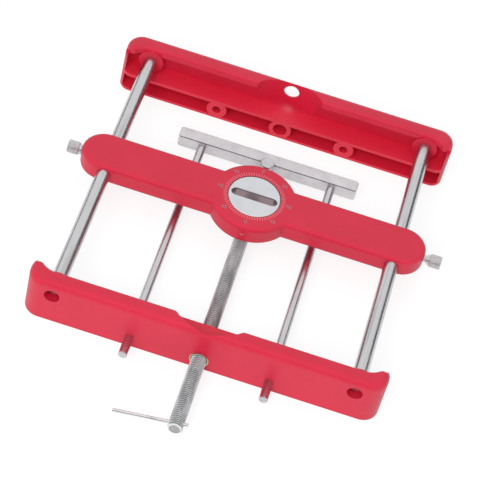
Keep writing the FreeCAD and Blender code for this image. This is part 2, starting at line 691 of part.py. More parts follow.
# Tommy bar, a tight fit in the screw's cross hole and longer to the left. Local z = 0
# is its left end.
tommy = Piece("tommy_bar")
tommy.revolve([("0", "0"), ("tommy_radius - edge_break / 2", "0"), ("tommy_radius", "edge_break / 2"),
               ("tommy_radius", "tommy_length - edge_break / 2"),
               ("tommy_radius - edge_break / 2", "tommy_length"), ("0", "tommy_length")])
tommy.put("-tommy_left * cos(tommy_tilt)", "front_y - screw_front + tommy_inset",
          "clamp_level - tommy_left * sin(tommy_tilt)", Rotation(Vector(0, 1, 0), 90 - tilt))

doc.recompute()

# Nothing is written unless every object is in order and every piece is one valid solid.
for thing in doc.Objects:
    if "Invalid" in thing.State or "Error" in thing.State:
        raise RuntimeError("%s failed: %s" % (thing.Name, thing.State))
pieces = [thing for thing in doc.Objects if thing.TypeId == "PartDesign::Body"]
for piece in pieces:
    shape = piece.Shape
    if shape.isNull() or not shape.isValid() or len(shape.Solids) != 1:
        raise RuntimeError("%s is not one valid solid" % piece.Label)

os.makedirs("parts", exist_ok=True)
for piece in pieces:
    piece.Shape.exportStep("parts/%s.step" % piece.Label)
print("pieces:", len(pieces))
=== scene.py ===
import math

import bmesh
import bpy
from mathutils import Matrix, Vector


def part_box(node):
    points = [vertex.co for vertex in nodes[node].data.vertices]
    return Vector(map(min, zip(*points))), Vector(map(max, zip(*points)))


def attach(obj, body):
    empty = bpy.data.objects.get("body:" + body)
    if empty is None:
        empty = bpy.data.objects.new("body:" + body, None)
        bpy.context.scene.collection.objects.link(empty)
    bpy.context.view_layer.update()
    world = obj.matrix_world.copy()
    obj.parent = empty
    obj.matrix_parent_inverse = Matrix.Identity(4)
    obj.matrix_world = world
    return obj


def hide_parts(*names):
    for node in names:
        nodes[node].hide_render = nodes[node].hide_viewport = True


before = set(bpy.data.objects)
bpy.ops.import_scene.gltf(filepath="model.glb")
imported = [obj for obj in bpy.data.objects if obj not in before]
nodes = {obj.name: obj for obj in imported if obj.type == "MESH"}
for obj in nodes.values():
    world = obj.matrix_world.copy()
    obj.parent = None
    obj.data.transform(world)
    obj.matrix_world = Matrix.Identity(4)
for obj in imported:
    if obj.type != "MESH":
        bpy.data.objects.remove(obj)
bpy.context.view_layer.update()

print("frame loaded:", len(nodes), "nodes")

mm = 0.001


def middle(node):
    # centre of a frame node's box
    low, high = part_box(node)
    return (low + high) / 2


# places that finishes and replaced pieces take from the frame
hubY, hubTop = middle("carrier").y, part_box("carrier")[1].z
betweenBars = middle("guide_rod_left").y
screwFront, screwBack = (corner.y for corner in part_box("clamp_screw"))
screwLevel = middle("clamp_screw").z


class Value:
    # One output socket. Arithmetic on it adds Math nodes to its tree.
    def __init__(self, graph, socket):
        self.graph, self.socket = graph, socket

    def math(self, operation, *values):
        return self.graph.node("ShaderNodeMath", {"operation": operation}, values)

    def __add__(self, other):
        return self.math("ADD", self, other)

    def __radd__(self, other):
        return self.math("ADD", other, self)

    def __sub__(self, other):
        return self.math("SUBTRACT", self, other)

    def __rsub__(self, other):
        return self.math("SUBTRACT", other, self)

    def __mul__(self, other):
        return self.math("MULTIPLY", self, other)

    def __rmul__(self, other):
        return self.math("MULTIPLY", other, self)

    def __truediv__(self, other):
        return self.math("DIVIDE", self, other)

    def __rtruediv__(self, other):
        return self.math("DIVIDE", other, self)

    def __mod__(self, other):
        return self.math("FLOORED_MODULO", self, other)

    def __abs__(self):
        return self.math("ABSOLUTE", self)

    def __gt__(self, other):
        return self.math("GREATER_THAN", self, other)

    def __lt__(self, other):
        return self.math("LESS_THAN", self, other)

    def atLeast(self, other):
        return self.math("MAXIMUM", self, other)

    def atMost(self, other):
        return self.math("MINIMUM", self, other)

    def root(self):
        return self.math("SQRT", self)

    def sine(self):
        return self.math("SINE", self)

    def cosine(self):
        return self.math("COSINE", self)

    def clamped(self):
        return self.atLeast(0.0).atMost(1.0)

    def between(self, low, high):
        # 0 at low, 1 at high, straight in between; low may be the greater one
        return ((self - low) / (high - low)).clamped()

    def swing(self):
        # how far a noise is from 0.5, which it varies about
        return self - 0.5


def distance(first, *others):
    # length of a line whose steps along the axes are given
    total = first * first
    for step in others:
        total = total + step * step
    return total.root()


class Graph:
    # A shader tree or a geometry tree: the same method makes every node of both.
    def __init__(self, tree):
        self.tree = tree

    def node(self, kind, settings=None, sockets=(), output=0):
        made = self.tree.nodes.new(kind)
        for name, value in (settings or {}).items():
            setattr(made, name, value)
        pairs = sockets.items() if isinstance(sockets, dict) else enumerate(sockets)
        for key, value in pairs:
            for one in value if isinstance(value, list) else [value]:
                if isinstance(one, Value):
                    self.tree.links.new(one.socket, made.inputs[key])
                else:
                    made.inputs[key].default_value = one
        if not made.outputs:
            return None
        if isinstance(output, tuple):
            return [Value(self, made.outputs[name]) for name in output]
        return Value(self, made.outputs[output])


class Paint(Graph):
    # A material with one Principled surface, painted by Object coordinates in metres.
    def __init__(self, name):
        self.material = bpy.data.materials.new(name)
        self.material.use_nodes = True
        super().__init__(self.material.node_tree)
        self.tree.nodes.clear()
        self.place = self.node("ShaderNodeTexCoord", output="Object")

    def axes(self):
        return self.node("ShaderNodeSeparateXYZ", {}, [self.place], ("X", "Y", "Z"))

    def mix(self, share, first, second):
        # a Mix node has its colours in sockets 6 and 7, and gives their mix in its output 2
        return self.node("ShaderNodeMix", {"data_type": "RGBA"}, {0: share, 6: first, 7: second}, 2)

    def noise(self, scale, detail=3.0, stretch=None):
        spread = self.place
        if stretch:
            spread = self.node("ShaderNodeMapping", {}, {"Vector": self.place, "Scale": stretch})
        return self.node("ShaderNodeTexNoise", {}, {"Vector": spread, "Scale": scale, "Detail": detail})

    def pits(self, scale):
        return self.node("ShaderNodeTexVoronoi", {}, {"Vector": self.place, "Scale": scale})

    def bump(self, height, depth, strength):
        sockets = {"Strength": strength, "Distance": depth, "Height": height}
        return self.node("ShaderNodeBump", {}, sockets)

    def finish(self, sockets):
        surface = self.node("ShaderNodeBsdfPrincipled", {}, sockets)
        self.node("ShaderNodeOutputMaterial", {}, {"Surface": surface})
        return self.material


def addToScene(name, data):
    thing = bpy.data.objects.new(name, data)
    bpy.context.scene.collection.objects.link(thing)
    return thing


def evaluated(holder):
    # A holder's finished shape as a plain mesh. The holder itself goes.
    graph = bpy.context.evaluated_depsgraph_get()
    made = bpy.data.meshes.new_from_object(holder.evaluated_get(graph))
    bpy.data.objects.remove(holder)
    return made


class Maker(Graph):
    # A geometry tree with named inputs, run once to give a plain mesh.
    def __init__(self, name, sizes):
        super().__init__(bpy.data.node_groups.new(name, "GeometryNodeTree"))
        self.sizes = sizes
        for label, value in sizes.items():
            kind = "NodeSocketInt" if isinstance(value, int) else "NodeSocketFloat"
            self.tree.interface.new_socket(label, in_out="INPUT", socket_type=kind)
        self.tree.interface.new_socket("Mesh", in_out="OUTPUT", socket_type="NodeSocketGeometry")
        self.sockets = self.node("NodeGroupInput", output=tuple(sizes))

    def revolve(self, columns, rows, shape):
        # A closed skin about +Y: shape(turn, row) gives the distance along Y and the radius.
        grid = self.node("GeometryNodeMeshGrid", {}, {
            "Size X": 1.0, "Size Y": 1.0, "Vertices X": columns + 1, "Vertices Y": rows + 1})
        spot = self.node("GeometryNodeInputPosition")
        spotX, spotY = self.node("ShaderNodeSeparateXYZ", {}, [spot], ("X", "Y"))
        turn, row = spotX + 0.5, (spotY + 0.5) * rows
        along, radius = shape(turn, row)
        inside = (row > 0.5) * (row < rows - 0.5)   # the first and last rows close the ends
        angle = turn * (2 * math.pi)
        place = self.node("ShaderNodeCombineXYZ", {}, [
            radius * inside * angle.sine(), along, radius * inside * angle.cosine()])
        skin = self.node("GeometryNodeSetPosition", {}, {"Geometry": grid, "Position": place})
        return self.node("GeometryNodeMergeByDistance", {}, {"Geometry": skin, "Distance": 0.001 * mm})

    def build(self, shape, material):
        whole = self.node("GeometryNodeRealizeInstances", {}, [shape])
        painted = self.node("GeometryNodeSetMaterial", {}, {"Geometry": whole, "Material": material})
        self.node("NodeGroupOutput", {}, [painted])
        holder = addToScene("holder", bpy.data.meshes.new("holder"))
        modifier = holder.modifiers.new("tree", "NODES")
        modifier.node_group = self.tree
        for item in self.tree.interface.items_tree:
            if item.in_out == "INPUT":
                modifier[item.identifier] = self.sizes[item.name]
        return evaluated(holder)


def turned(outline, count=48):
    # A closed shell about +Y from (radius, distance) points that start and end on the axis.
    shell = bmesh.new()
    rings = []
    for radius, along in outline:
        if radius == 0:
            rings.append([shell.verts.new((0, along, 0))] * count)
        else:
            angles = [2 * math.pi * i / count for i in range(count)]
            rings.append([shell.verts.new((radius * math.sin(a), along, radius * math.cos(a)))
                          for a in angles])
    for near, far in zip(rings, rings[1:]):
        for i in range(count):
            corners = dict.fromkeys([near[i], near[i - 1], far[i - 1], far[i]])
            shell.faces.new(list(corners))
    made = bpy.data.meshes.new("turned")
    shell.to_mesh(made)
    shell.free()
    return made


def piece(name, parts, material, body, place, crease):
    # Joins meshes into one finished piece, with its place in its mesh.
    whole = bmesh.new()
    for part in parts:
        whole.from_mesh(part)
    bmesh.ops.recalc_face_normals(whole, faces=whole.faces)
    made = bpy.data.meshes.new(name)
    whole.to_mesh(made)
    whole.free()
    made.transform(place)
    made.materials.clear()
    made.materials.append(material)
    made.polygons.foreach_set("material_index", [0] * len(made.polygons))
    made.shade_smooth()
    made.set_sharp_from_angle(angle=math.radians(crease))
    thing = addToScene(name, made)
    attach(thing, body)
    print("made", name, len(made.polygons), "faces")
    return thing


# Moulded plastic of the bars and the carrier

mouldedLook = {
    "light": (0.71, 0.018, 0.056, 1), "deep": (0.67, 0.014, 0.048, 1), "gloss": 0.42,
    "cloudScale": 40, "cloudRange": (0.35, 0.65), "cloudGloss": 0.10,
    "grainScale": 2400, "grainGloss": 0.06, "grainDepth": 0.012 * mm, "grainBump": 0.35,
    "scuff": (0.72, 0.06, 0.10, 1), "scuffScale": 700, "scuffStretch": (0.12, 1, 1),
    "scuffRange": (0.68, 0.78), "scuffShare": 0.25, "scuffGloss": 0.12,
    # painted shade in the gap round the dial: radii, and how far it reaches below the hub's top
    "gapShade": (0.11, 0.03, 0.035, 1), "gapShare": 0.8, "gapStart": 17.0 * mm,
    "gapFade": (18.18 * mm, 17.96 * mm), "gapDepth": 2.0 * mm,
    # inside of the bars, painted light on the floors and painted shade on the back walls: depths from the
    # middle between them, and levels
    "floorLight": (0.80, 0.020, 0.052, 1), "floorLightShare": 0.85, "roomDepth": (96.3 * mm, 111.1 * mm),
    "roomHalf": 116.4 * mm, "roomTop": 17.2 * mm,
    "shaded": (0.50, 0.012, 0.036, 1), "shadedShare": 0.5, "wallDepth": 111.6 * mm,
    "wallFade": (16.9 * mm, 17.8 * mm), "wallTop": 30.4 * mm,
    # small paler spot near the foot of the rear bar's back wall
    "paleSpot": (1.1 * mm, 218.0 * mm, 16.6 * mm), "paleSpotFade": (4.2 * mm, 1.0 * mm),
    "paleSpotTint": (1, 1, 1, 1), "paleSpotShare": 0.06}


def mouldedPlastic(look):
    paint = Paint("mouldedRaspberryPlastic")
    cloud = paint.noise(look["cloudScale"], detail=2.0)
    grain = paint.noise(look["grainScale"], detail=2.0)
    scuff = paint.noise(look["scuffScale"], stretch=look["scuffStretch"]).between(*look["scuffRange"])
    colour = paint.mix(cloud.between(*look["cloudRange"]), look["deep"], look["light"])
    colour = paint.mix(scuff * look["scuffShare"], colour, look["scuff"])
    x, y, z = paint.axes()
    # painted shade in the thin gap round the dial
    rim = distance(x, y - hubY)
    gap = rim.between(*look["gapFade"]) * (z > hubTop - look["gapDepth"]) * (rim > look["gapStart"])
    colour = paint.mix(gap * look["gapShare"], colour, look["gapShade"])
    # inside the bars the floors get a painted lighter red, and the back walls painted shade
    roomStart, roomEnd = look["roomDepth"]
    depth, inside = abs(y - betweenBars), abs(x) < look["roomHalf"]
    litFloor = (depth > roomStart) * (depth < roomEnd) * inside * (z < look["roomTop"])
    wall = (depth > roomEnd) * (depth < look["wallDepth"]) * inside * (z < look["wallTop"])
    colour = paint.mix(litFloor * look["floorLightShare"], colour, look["floorLight"])
    colour = paint.mix(wall * z.between(*look["wallFade"]) * look["shadedShare"], colour, look["shaded"])
    # a small paler spot near the foot of the back wall
    paleX, paleY, paleZ = look["paleSpot"]
    paleMark = distance(x - paleX, y - paleY, z - paleZ).between(*look["paleSpotFade"])
    colour = paint.mix(paleMark * look["paleSpotShare"], colour, look["paleSpotTint"])
    roughness = (look["gloss"] + cloud.swing() * look["cloudGloss"] + grain.swing() * look["grainGloss"]
                 + scuff * look["scuffGloss"])
    return paint.finish({"Base Color": colour, "Roughness": roughness,
                         "Normal": paint.bump(grain, look["grainDepth"], look["grainBump"])})


# Bright drawn steel: fine lengthwise lines, faint stains and a few dark streaks

drawnStock = {"lineStretch": (1, 0.03, 1), "lineGloss": 0.16, "lineDepth": 0.004 * mm,
              "lineBump": 0.22, "streakRange": (0.50, 0.72), "stainRange": (0.55, 0.8), "stainShare": 0.15,
              "dullRange": (0.5, 0.8), "dullGloss": 0.10}
rodLook = {**drawnStock, "light": (0.60, 0.60, 0.62, 1), "dark": (0.22, 0.215, 0.22, 1), "gloss": 0.24,
           "lineScale": 1500, "streakScale": 420, "streakShare": 0.55, "stainScale": 120}
pinLook = {**drawnStock, "light": (0.60, 0.60, 0.62, 1), "dark": (0.20, 0.195, 0.20, 1), "gloss": 0.24,
           "lineScale": 1500, "streakScale": 500, "streakShare": 0.45, "stainScale": 160}
knobLook = {**drawnStock, "light": (0.68, 0.665, 0.68, 1), "dark": (0.30, 0.29, 0.30, 1), "gloss": 0.38,
            "lineScale": 1400, "streakScale": 900, "streakShare": 0.5, "stainScale": 300,
            "lineStretch": (0.3, 1, 1)}
handleLook = {**drawnStock, "light": (0.80, 0.80, 0.82, 1), "dark": (0.34, 0.335, 0.34, 1), "gloss": 0.16,
              "lineScale": 1500, "streakScale": 500, "streakShare": 0.5, "stainScale": 160,
              "lineStretch": (0.03, 1, 1)}


def drawnSteel(name, look):
    paint = Paint(name)
    lines = paint.noise(look["lineScale"], stretch=look["lineStretch"])
    streak = paint.noise(look["streakScale"], detail=4.0, stretch=look["lineStretch"])
    stain = paint.noise(look["stainScale"], detail=4.0)
    dark = streak.between(*look["streakRange"]) * look["streakShare"]
    stained = stain.between(*look["stainRange"]) * look["stainShare"]
    colour = paint.mix(dark + stained, look["light"], look["dark"])
    roughness = (look["gloss"] + lines.swing() * look["lineGloss"]
                 + stain.between(*look["dullRange"]) * look["dullGloss"])
    return paint.finish({"Base Color": colour, "Metallic": 1.0, "Roughness": roughness,
                         "Normal": paint.bump(lines, look["lineDepth"], look["lineBump"])})


# Rolled thread: painted shade in its roots and a painted highlight on its crests, broken up by grit and
# stains

threadLook = {
    "crest": (0.97, 0.975, 0.99, 1), "root": (0.20, 0.205, 0.21, 1), "gloss": 0.28, "metallic": 0.5,
    "crestRange": (4.25 * mm, 4.95 * mm), "crestShare": 0.6, "rootGloss": 0.22,
    "stainScale": 260, "stainStretch": (1, 0.25, 1), "stainRange": (0.35, 0.65), "stainMean": 0.4,
    "stainShare": 0.3, "gritScale": 1800, "gritShare": 0.8, "gritGloss": 0.14,
    "gritDepth": 0.006 * mm, "gritBump": 0.4,
    # turned front end: its length, and the radii where the face becomes the chamfer
    "faceLength": 0.7 * mm, "faceRange": (3.5 * mm, 3.9 * mm), "faceShare": 0.85,
    "faced": (0.46, 0.46, 0.47, 1), "chamfer": (0.95, 0.95, 0.96, 1)}


def rolledThread(look):
    paint = Paint("rolledThreadSteel")
    x, y, z = paint.axes()
    radius = distance(x, z - screwLevel)
    crest = radius.between(*look["crestRange"])
    stain = paint.noise(look["stainScale"], detail=4.0, stretch=look["stainStretch"])
    grit = paint.noise(look["gritScale"])
    stained = (stain.between(*look["stainRange"]) - look["stainMean"]) * look["stainShare"]
    # share of the painted crest highlight over the painted root shade
    highlightMix = (crest * look["crestShare"] + grit.swing() * look["gritShare"] + stained).clamped()
    colour = paint.mix(highlightMix, look["root"], look["crest"])
    ending = paint.mix(radius.between(*look["faceRange"]), look["faced"], look["chamfer"])
    colour = paint.mix((y < screwFront + look["faceLength"]) * look["faceShare"], colour, ending)
    roughness = look["gloss"] + (1 - crest) * look["rootGloss"] + grit.swing() * look["gritGloss"]
    return paint.finish({"Base Color": colour, "Metallic": look["metallic"], "Roughness": roughness,
                         "Normal": paint.bump(grit, look["gritDepth"], look["gritBump"])})


# Tumbled metal of the clamp bar

clampLook = {
    "light": (0.76, 0.75, 0.77, 1), "dark": (0.46, 0.445, 0.465, 1), "gloss": 0.40, "metallic": 0.85,
    "stainScale": 70, "stainRange": (0.35, 0.75), "stainShare": 0.6,
    "gritScale": 900, "gritRange": (0.4, 0.8), "gritShare": 0.3, "gritGloss": 0.24,
    "gritDepth": 0.02 * mm, "gritBump": 0.5,
    "pit": (0.20, 0.19, 0.20, 1), "pitScale": 380, "pitRange": (0.16, 0.05), "pitStain": (0.45, 0.6),
    "pitShare": 0.8, "pitGloss": 0.15,
    # painted shade: line of the top front edge, and the boss in it
    "paintedShade": (0.06, 0.055, 0.06, 1), "edgeY": 165.45 * mm, "edgeZ": 12.7 * mm, "bossReach": 4.6 * mm,
    "edgeFade": (0.55 * mm, 0.2 * mm), "edgeGrit": (0.30, 0.42), "edgeShare": 0.8,
    "cornerAway": 0.9 * mm, "cornerFade": (1.5 * mm, 0.5 * mm), "cornerDepth": (1.2 * mm, 0.4 * mm),
    "cornerShare": 0.85, "seamFade": (0.5 * mm, 0.1 * mm), "seamShare": 0.4}


def tumbledBar(look):
    paint = Paint("tumbledBarMetal")
    stain = paint.noise(look["stainScale"], detail=5.0)
    grit = paint.noise(look["gritScale"], detail=4.0)
    pits = paint.pits(look["pitScale"]).between(*look["pitRange"])
    stained = stain.between(*look["stainRange"]) * look["stainShare"]
    gritty = grit.between(*look["gritRange"]) * look["gritShare"]
    colour = paint.mix(stained + gritty, look["light"], look["dark"])
    pitted = pits * stain.between(*look["pitStain"]) * look["pitShare"]
    colour = paint.mix(pitted, colour, look["pit"])
    # painted shade along the front edge, broken up by grit, painted shadow in the corners beside the boss,
    # and painted shade round the boss
    x, y, z = paint.axes()
    fromEdge = y - look["edgeY"]
    edge = (abs(fromEdge).between(*look["edgeFade"]) * (abs(x) > look["bossReach"])
            * grit.between(*look["edgeGrit"]) * look["edgeShare"])
    corner = (abs(abs(x) - look["bossReach"] - look["cornerAway"]).between(*look["cornerFade"])
              * abs(fromEdge).between(*look["cornerDepth"]) * look["cornerShare"])
    fromBoss = abs(distance(x, fromEdge) - look["bossReach"])
    seam = fromBoss.between(*look["seamFade"]) * look["seamShare"]
    paintedShade = edge.atLeast(corner).atLeast(seam) * (z > look["edgeZ"])
    colour = paint.mix(paintedShade, colour, look["paintedShade"])
    roughness = look["gloss"] + grit.swing() * look["gritGloss"] + pits * look["pitGloss"]
    return paint.finish({"Base Color": colour, "Metallic": look["metallic"], "Roughness": roughness,
                         "Normal": paint.bump(grit - pits, look["gritDepth"], look["gritBump"])})


# Faced metal of the dial, with fine rings about its centre

dialLook = {
    "light": (0.70, 0.71, 0.735, 1), "dark": (0.58, 0.59, 0.62, 1), "gloss": 0.42, "metallic": 0.7,
    "cloudScale": 90, "cloudRange": (0.4, 0.8), "cloudShare": 0.5,
    "gritScale": 1500, "gritRange": (0.5, 0.9), "gritShare": 0.3, "gritGloss": 0.12,
    "ringSpacing": 0.25 * mm, "ringGloss": 0.04, "ringDepth": 0.003 * mm, "ringBump": 0.4,
    # painted highlight on the dial's rim: where it starts, its colour and its share
    "rim": 17.1 * mm, "rimHighlight": (0.86, 0.87, 0.89, 1), "rimShare": 0.8,
    # slot: its half sizes, where its walls start below the hub's top, and the walls' painted pinkish shade
    "slotHalf": (15.85 * mm, 3.35 * mm), "slotDrop": 0.45 * mm, "slotWall": (0.68, 0.57, 0.59, 1),
    "slotGloss": 0.15,
    # painted shade on the slot's walls: places, and depths below where they start
    "paintedShade": (0.075, 0.06, 0.065, 1), "paintedShadeShare": 0.75, "rearStart": 2.6 * mm,
    "rearDepth": (1.6 * mm, 0.4 * mm), "endFade": (12.6 * mm, 13.4 * mm), "endDepth": (6 * mm, 3 * mm),
    "middleShadeX": -1.5 * mm, "middleShadeFade": (6 * mm, 2 * mm), "middleShadeShare": 0.35}


def facedDial(look):
    paint = Paint("facedDialMetal")
    x, y, z = paint.axes()
    fromMiddle = y - hubY
    radius = distance(x, fromMiddle)
    rings = (radius * (2 * math.pi / look["ringSpacing"])).sine() * 0.5 + 0.5
    cloud = paint.noise(look["cloudScale"])
    grit = paint.noise(look["gritScale"])
    clouded = cloud.between(*look["cloudRange"]) * look["cloudShare"]
    gritty = grit.between(*look["gritRange"]) * look["gritShare"]
    colour = paint.mix(clouded + gritty, look["light"], look["dark"])
    # a painted highlight round the dial's rim
    colour = paint.mix((radius > look["rim"]) * look["rimShare"], colour, look["rimHighlight"])
    # the slot's walls are duller and take a painted pinkish shade, with more painted shade along the rear
    # edge, in the round ends and near the middle
    halfLong, halfWide = look["slotHalf"]
    below = (hubTop - look["slotDrop"]) - z
    slot = (below > 0.0) * (abs(x) < halfLong) * (abs(fromMiddle) < halfWide)
    colour = paint.mix(slot, colour, look["slotWall"])
    rear = below.between(*look["rearDepth"]) * (fromMiddle > look["rearStart"])
    ends = abs(x).between(*look["endFade"]) * below.between(*look["endDepth"])
    middleShade = abs(x - look["middleShadeX"]).between(*look["middleShadeFade"]) * look["middleShadeShare"]
    paintedShade = (rear.atLeast(ends) * look["paintedShadeShare"]).atLeast(middleShade)
    colour = paint.mix(slot * paintedShade, colour, look["paintedShade"])
    roughness = (look["gloss"] + grit.swing() * look["gritGloss"] + rings * look["ringGloss"]
                 + slot * look["slotGloss"])
    return paint.finish({"Base Color": colour, "Metallic": look["metallic"], "Roughness": roughness,
                         "Normal": paint.bump(rings + grit, look["ringDepth"], look["ringBump"])})


# Small turned parts: the insert, the rods' screws and the dial's lock screw

turnedStock = {"cloudScale": 260, "cloudRange": (0.35, 0.7), "cloudShare": 0.7,
               "gritScale": 2200, "gritRange": (0.5, 0.9), "gritShare": 0.3, "gritGloss": 0.16,
               "gritDepth": 0.005 * mm, "gritBump": 0.4}
brassLook = {**turnedStock, "light": (0.66, 0.56, 0.34, 1), "dark": (0.34, 0.27, 0.16, 1),
             "gloss": 0.34, "metallic": 1.0}
screwLook = {**turnedStock, "light": (0.62, 0.60, 0.61, 1), "dark": (0.40, 0.38, 0.39, 1),
             "gloss": 0.34, "metallic": 1.0}
# the lock screw's pink is a painted reflection of the red plastic round it, kept light as a painted
# highlight
lockLook = {**turnedStock, "light": (0.90, 0.30, 0.33, 1), "dark": (0.84, 0.20, 0.23, 1),
            "gloss": 0.60, "metallic": 0.1}


def turnedMetal(name, look):
    paint = Paint(name)
    cloud = paint.noise(look["cloudScale"])
    grit = paint.noise(look["gritScale"], detail=2.0)
    clouded = cloud.between(*look["cloudRange"]) * look["cloudShare"]
    gritty = grit.between(*look["gritRange"]) * look["gritShare"]
    colour = paint.mix(clouded + gritty, look["light"], look["dark"])
    roughness = look["gloss"] + grit.swing() * look["gritGloss"]
    return paint.finish({"Base Color": colour, "Metallic": look["metallic"], "Roughness": roughness,
                         "Normal": paint.bump(grit, look["gritDepth"], look["gritBump"])})


# Paint of the angle scale

scaleInk = {"gloss": 0.45, "grainScale": 1600, "grainRange": (0.4, 0.75), "grainGloss": 0.2,
            "grainDepth": 0.01 * mm, "grainBump": 0.3}
tickLook = {**scaleInk, "light": (0.78, 0.27, 0.29, 1), "dull": (0.72, 0.17, 0.20, 1)}
numberLook = {**scaleInk, "light": (0.46, 0.20, 0.23, 1), "dull": (0.38, 0.12, 0.15, 1)}


def scalePaint(name, look):
    paint = Paint(name)
    grain = paint.noise(look["grainScale"])
    colour = paint.mix(grain.between(*look["grainRange"]), look["light"], look["dull"])
    roughness = look["gloss"] + grain.swing() * look["grainGloss"]
    return paint.finish({"Base Color": colour, "Roughness": roughness,
                         "Normal": paint.bump(grain, look["grainDepth"], look["grainBump"])})


plastic = mouldedPlastic(mouldedLook)
rodSteel = drawnSteel("groundRodSteel", rodLook)
pinSteel = drawnSteel("brightPinSteel", pinLook)
knobSteel = drawnSteel("knurledKnobSteel", knobLook)
handleSteel = drawnSteel("handleBarSteel", handleLook)
threadSteel = rolledThread(threadLook)
barMetal = tumbledBar(clampLook)
dialMetal = facedDial(dialLook)
brass = turnedMetal("paleBrass", brassLook)
screwSteel = turnedMetal("zincScrewSteel", screwLook)
lockSteel = turnedMetal("brightLockSteel", lockLook)
tickPaint = scalePaint("paleTickPaint", tickLook)
numberPaint = scalePaint("greyedNumberPaint", numberLook)

coats = {"front_bar": plastic, "rear_bar": plastic, "carrier": plastic,
         "guide_rod_left": rodSteel, "guide_rod_right": rodSteel,
         "guide_pin_left": pinSteel, "guide_pin_right": pinSteel,
         "rod_screw_front_left": screwSteel, "rod_screw_front_right": screwSteel,
         "rod_screw_rear_left": screwSteel, "rod_screw_rear_right": screwSteel,
         "screw_insert": brass, "dial_disc": dialMetal, "dial_lock_screw": lockSteel,
         "thumb_screw_left": knobSteel, "thumb_screw_right": knobSteel,
         "clamp_bar": barMetal, "clamp_screw": threadSteel, "tommy_bar": handleSteel}
for name, material in coats.items():
    for slot in nodes[name].material_slots:
        slot.material = material
print("finishes on the frame's nodes")


# Clamp screw: a rolled M10 thread with a neck and a swaged end

clampScrew = {"pitch": 1.5 * mm, "outer": 5.0 * mm, "depth": 0.812 * mm, "endRadius": 4.0 * mm,
              "flank": (1 / 16, 6 / 16),   # in pitches from a crest's middle: crest P/8, root P/4 wide
              "columns": 24, "steps": 8, "neck": 3.1 * mm, "neckLength": 11.55 * mm,
              "head": 3.9 * mm, "headLength": 2.4 * mm, "headBreak": 0.4 * mm, "overlap": 1.0 * mm,
              "crease": 50}


def makeClampScrew(size):
    headStart = screwBack - size["headLength"]
    threadEnd = headStart - size["neckLength"]
    turns = math.ceil((threadEnd - screwFront) / size["pitch"]) + 1
    maker = Maker("threadMaker", {
        "Pitch": size["pitch"], "Outer Radius": size["outer"], "Thread Depth": size["depth"],
        "End Radius": size["endRadius"], "Front": screwFront, "Back": threadEnd})
    pitch, outer, depth, endRadius, front, back = maker.sockets

    def helix(turn, row):
        level = row / size["steps"]
        along = (front + (level + turn - 1) * pitch).atLeast(front).atMost(back)
        radius = outer - depth * abs(level % 1.0 - 0.5).between(*size["flank"])
        return along, radius.atMost(endRadius + along - front).atMost(endRadius + back - along)

    thread = maker.build(maker.revolve(size["columns"], turns * size["steps"], helix), threadSteel)
    neck, head, edge = size["neck"], size["head"], size["headBreak"]
    start = threadEnd - size["overlap"]
    tail = turned([(0, start), (neck, start), (neck, headStart), (head, headStart),
                   (head, screwBack - edge), (head - edge, screwBack), (0, screwBack)])
    screw = piece("clampScrewThread", [thread, tail], threadSteel, "screw",
                  Matrix.Translation((0, 0, screwLevel)), size["crease"])
    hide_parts("clamp_screw")


makeClampScrew(clampScrew)


# Thumb screws: a diamond knurl on the knob, a plain collar and a plain shank

thumbScrew = {"knob": 4.5 * mm, "knobLength": 8.2 * mm, "collar": 3.4 * mm, "collarLength": 1.5 * mm,
              "shank": 2.5 * mm, "edge": 1.1 * mm, "cut": 0.32 * mm, "teeth": 28, "across": 8,
              "samples": 6, "endBreak": 0.5 * mm, "crease": 35}


def makeThumbScrew(name, side, node, body, size):
    low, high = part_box(node)
    length = high.x - low.x
    knobStart = length - size["knobLength"]
    maker = Maker("knurlMaker", {
        "Knob Radius": size["knob"], "Cut Depth": size["cut"], "Edge": size["edge"],
        "Start": knobStart, "End": length})
    radius, cut, edge, start, end = maker.sockets
    rows = size["across"] * size["samples"]

    def diamonds(turn, row):
        share = row / rows
        along = start + (end - start) * share
        one = abs((turn * size["teeth"] + share * size["across"]) % 1.0 - 0.5) * 2
        other = abs((turn * size["teeth"] - share * size["across"]) % 1.0 - 0.5) * 2
        tooth = radius - cut * one.atLeast(other)
        inset = edge - (along - start).atMost(end - along).atMost(edge)
        return along, tooth.atMost(radius - edge + (edge * edge - inset * inset).root())

    knob = maker.build(maker.revolve(size["teeth"] * size["samples"], rows, diamonds), knobSteel)
    shank, tip, collar = size["shank"], size["endBreak"], size["collar"]
    collarStart, stemEnd = knobStart - size["collarLength"], knobStart + size["edge"]
    stem = turned([(0, 0), (shank - tip, 0), (shank, tip), (shank, collarStart), (collar, collarStart),
                   (collar, stemEnd), (0, stemEnd)])
    inner = middle(node)
    inner.x = high.x if side < 0 else low.x
    place = Matrix.Translation(inner) @ Matrix.Rotation(-side * math.pi / 2, 4, "Z")
    screw = piece(name, [knob, stem], knobSteel, body, place, size["crease"])
    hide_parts(node)


makeThumbScrew("thumbKnobLeft", -1, "thumb_screw_left", "thumb_left", thumbScrew)
makeThumbScrew("thumbKnobRight", 1, "thumb_screw_right", "thumb_right", thumbScrew)


# Angle scale on the hub, with both steps in degrees

angleScale = {"tickStep": 5, "inner": 18.4 * mm, "outer": 21.0 * mm, "width": 0.46 * mm,
              "thick": 0.12 * mm, "sunk": 0.04 * mm, "tickCrease": 40,
              "numberStep": 45, "numberRadius": 23.8 * mm, "numberHeight": 2.9 * mm,
              "figureShare": 0.7,   # height of a figure in the font's size
              "stroke": 0.045 * mm, "numberCrease": 30}


def scalePlace(size):
    # Ticks and numbers are sunk a little into the hub's top.
    return Matrix.Translation((0, hubY, hubTop + size["thick"] / 2 - size["sunk"]))


